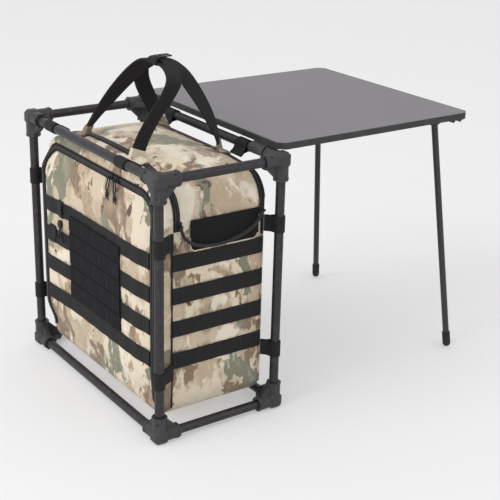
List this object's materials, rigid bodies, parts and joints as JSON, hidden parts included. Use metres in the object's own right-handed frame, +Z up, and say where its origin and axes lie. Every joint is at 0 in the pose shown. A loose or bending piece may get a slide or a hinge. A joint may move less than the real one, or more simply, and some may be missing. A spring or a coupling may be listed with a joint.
{
  "type": "camp kitchen table",
  "caption": "Camp kitchen table: tube-and-hub carrying frame with a hung camouflage gear bag and a clip-on side table on plug-in legs.",
  "frame": {"origin": "on the floor, under the centre of the whole object", "axes": "+X from the bag's zipped door towards the side table's far edge, +Y to the left seen from the door, +Z up, out of the worktop"},
  "size_m": [0.6062, 0.416, 0.5318],
  "materials": {
    "hub_nylon": "moulded, fine matt grain",
    "tube_anodised": "dark anodised, satin",
    "rivet_steel": "plated, satin",
    "camo_fabric": "printed woven nylon, sand camouflage",
    "zip_tape": "woven tape with coil teeth",
    "black_webbing": "flat woven nylon webbing",
    "hook_tape": "hook-and-loop band",
    "patch_fabric": "black woven panel, quilted in a grid",
    "label_fabric": "blank woven label",
    "slider_metal": "black painted die casting",
    "cord": "braided cord",
    "board_top": "wood-fibre board faced with a fine textured satin laminate, dark grey",
    "board_edge": "black edge band",
    "bracket_nylon": "moulded nylon",
    "leg_tube": "thin-walled tube, black anodised",
    "foot_rubber": "moulded rubber"
  },
  "bodies": {
    "frame": {"hub_bottom_front_right": "hub_nylon", "hub_bottom_front_left": "hub_nylon", "hub_bottom_table_right": "hub_nylon", "hub_bottom_table_left": "hub_nylon", "hub_top_front_right": "hub_nylon", "hub_top_front_left": "hub_nylon", "hub_top_table_right": "hub_nylon", "hub_top_table_left": "hub_nylon", "rail_bottom_front": "tube_anodised", "rail_bottom_table": "tube_anodised", "rail_top_front": "tube_anodised", "rail_top_table": "tube_anodised", "rail_bottom_right": "tube_anodised", "rail_bottom_left": "tube_anodised", "rail_top_right": "tube_anodised", "rail_top_left": "tube_anodised", "post_front_right": "tube_anodised", "post_front_left": "tube_anodised", "post_table_right": "tube_anodised", "post_table_left": "tube_anodised", "hub_rivets": "rivet_steel", "bag_body": "camo_fabric", "bag_lid": "camo_fabric", "door_zip_outer": "zip_tape", "side_webbing": "black_webbing", "lid_zips": "zip_tape", "flap_band": "hook_tape", "flap_backing": "hook_tape", "post_loops": "black_webbing", "rail_loops": "black_webbing", "handle_front": "black_webbing", "handle_rear": "black_webbing", "handle_wrap": "black_webbing", "handle_tabs": "camo_fabric", "lid_label": "label_fabric"},
    "tabletop": {"table_board": "board_top", "table_rim": "board_edge", "rail_clips": "bracket_nylon", "rail_saddles": "bracket_nylon", "leg_sockets": "bracket_nylon", "table_screws": "rivet_steel"},
    "leg_right": {"leg_right": "leg_tube", "foot_right": "foot_rubber"},
    "leg_left": {"leg_left": "leg_tube", "foot_left": "foot_rubber"},
    "door": {"front_door": "camo_fabric", "door_zip_inner": "zip_tape", "door_webbing": "black_webbing", "door_patch": "patch_fabric", "keeper_band": "black_webbing", "keeper_tab": "black_webbing"},
    "door_slider_left": {"door_slider_left": "slider_metal", "door_pull_left": "cord", "door_knot_left": "cord"},
    "door_slider_right": {"door_slider_right": "slider_metal", "door_pull_right": "cord", "door_knot_right": "cord"},
    "lid_pull": {"lid_sliders": "slider_metal", "lid_cord": "cord"}
  },
  "joints": [
    {"name": "table_lift", "type": "slide", "parent": "frame", "child": "tabletop", "axis": [0, 0, 1], "range_m": [0, 0.08]},
    {"name": "leg_right_pull", "type": "slide", "parent": "tabletop", "child": "leg_right", "axis": [0.1053, -0.085, -0.9908], "range_m": [0, 0.03]},
    {"name": "leg_left_pull", "type": "slide", "parent": "tabletop", "child": "leg_left", "axis": [0.1053, 0.085, -0.9908], "range_m": [0, 0.03]},
    {"name": "door_drop", "type": "hinge", "parent": "frame", "child": "door", "pos_m": [-0.2796, 0, 0.0455], "axis": [0, -1, 0], "range_deg": [0, 90]},
    {"name": "door_slider_left_run", "type": "slide", "parent": "door", "child": "door_slider_left", "axis": [0, 1, 0], "range_m": [0, 0.12]},
    {"name": "door_slider_right_run", "type": "slide", "parent": "door", "child": "door_slider_right", "axis": [0, -1, 0], "range_m": [0, 0.04]},
    {"name": "lid_pull_up", "type": "slide", "parent": "frame", "child": "lid_pull", "axis": [0, 0, 1], "range_m": [0, 0.02]}
  ]
}
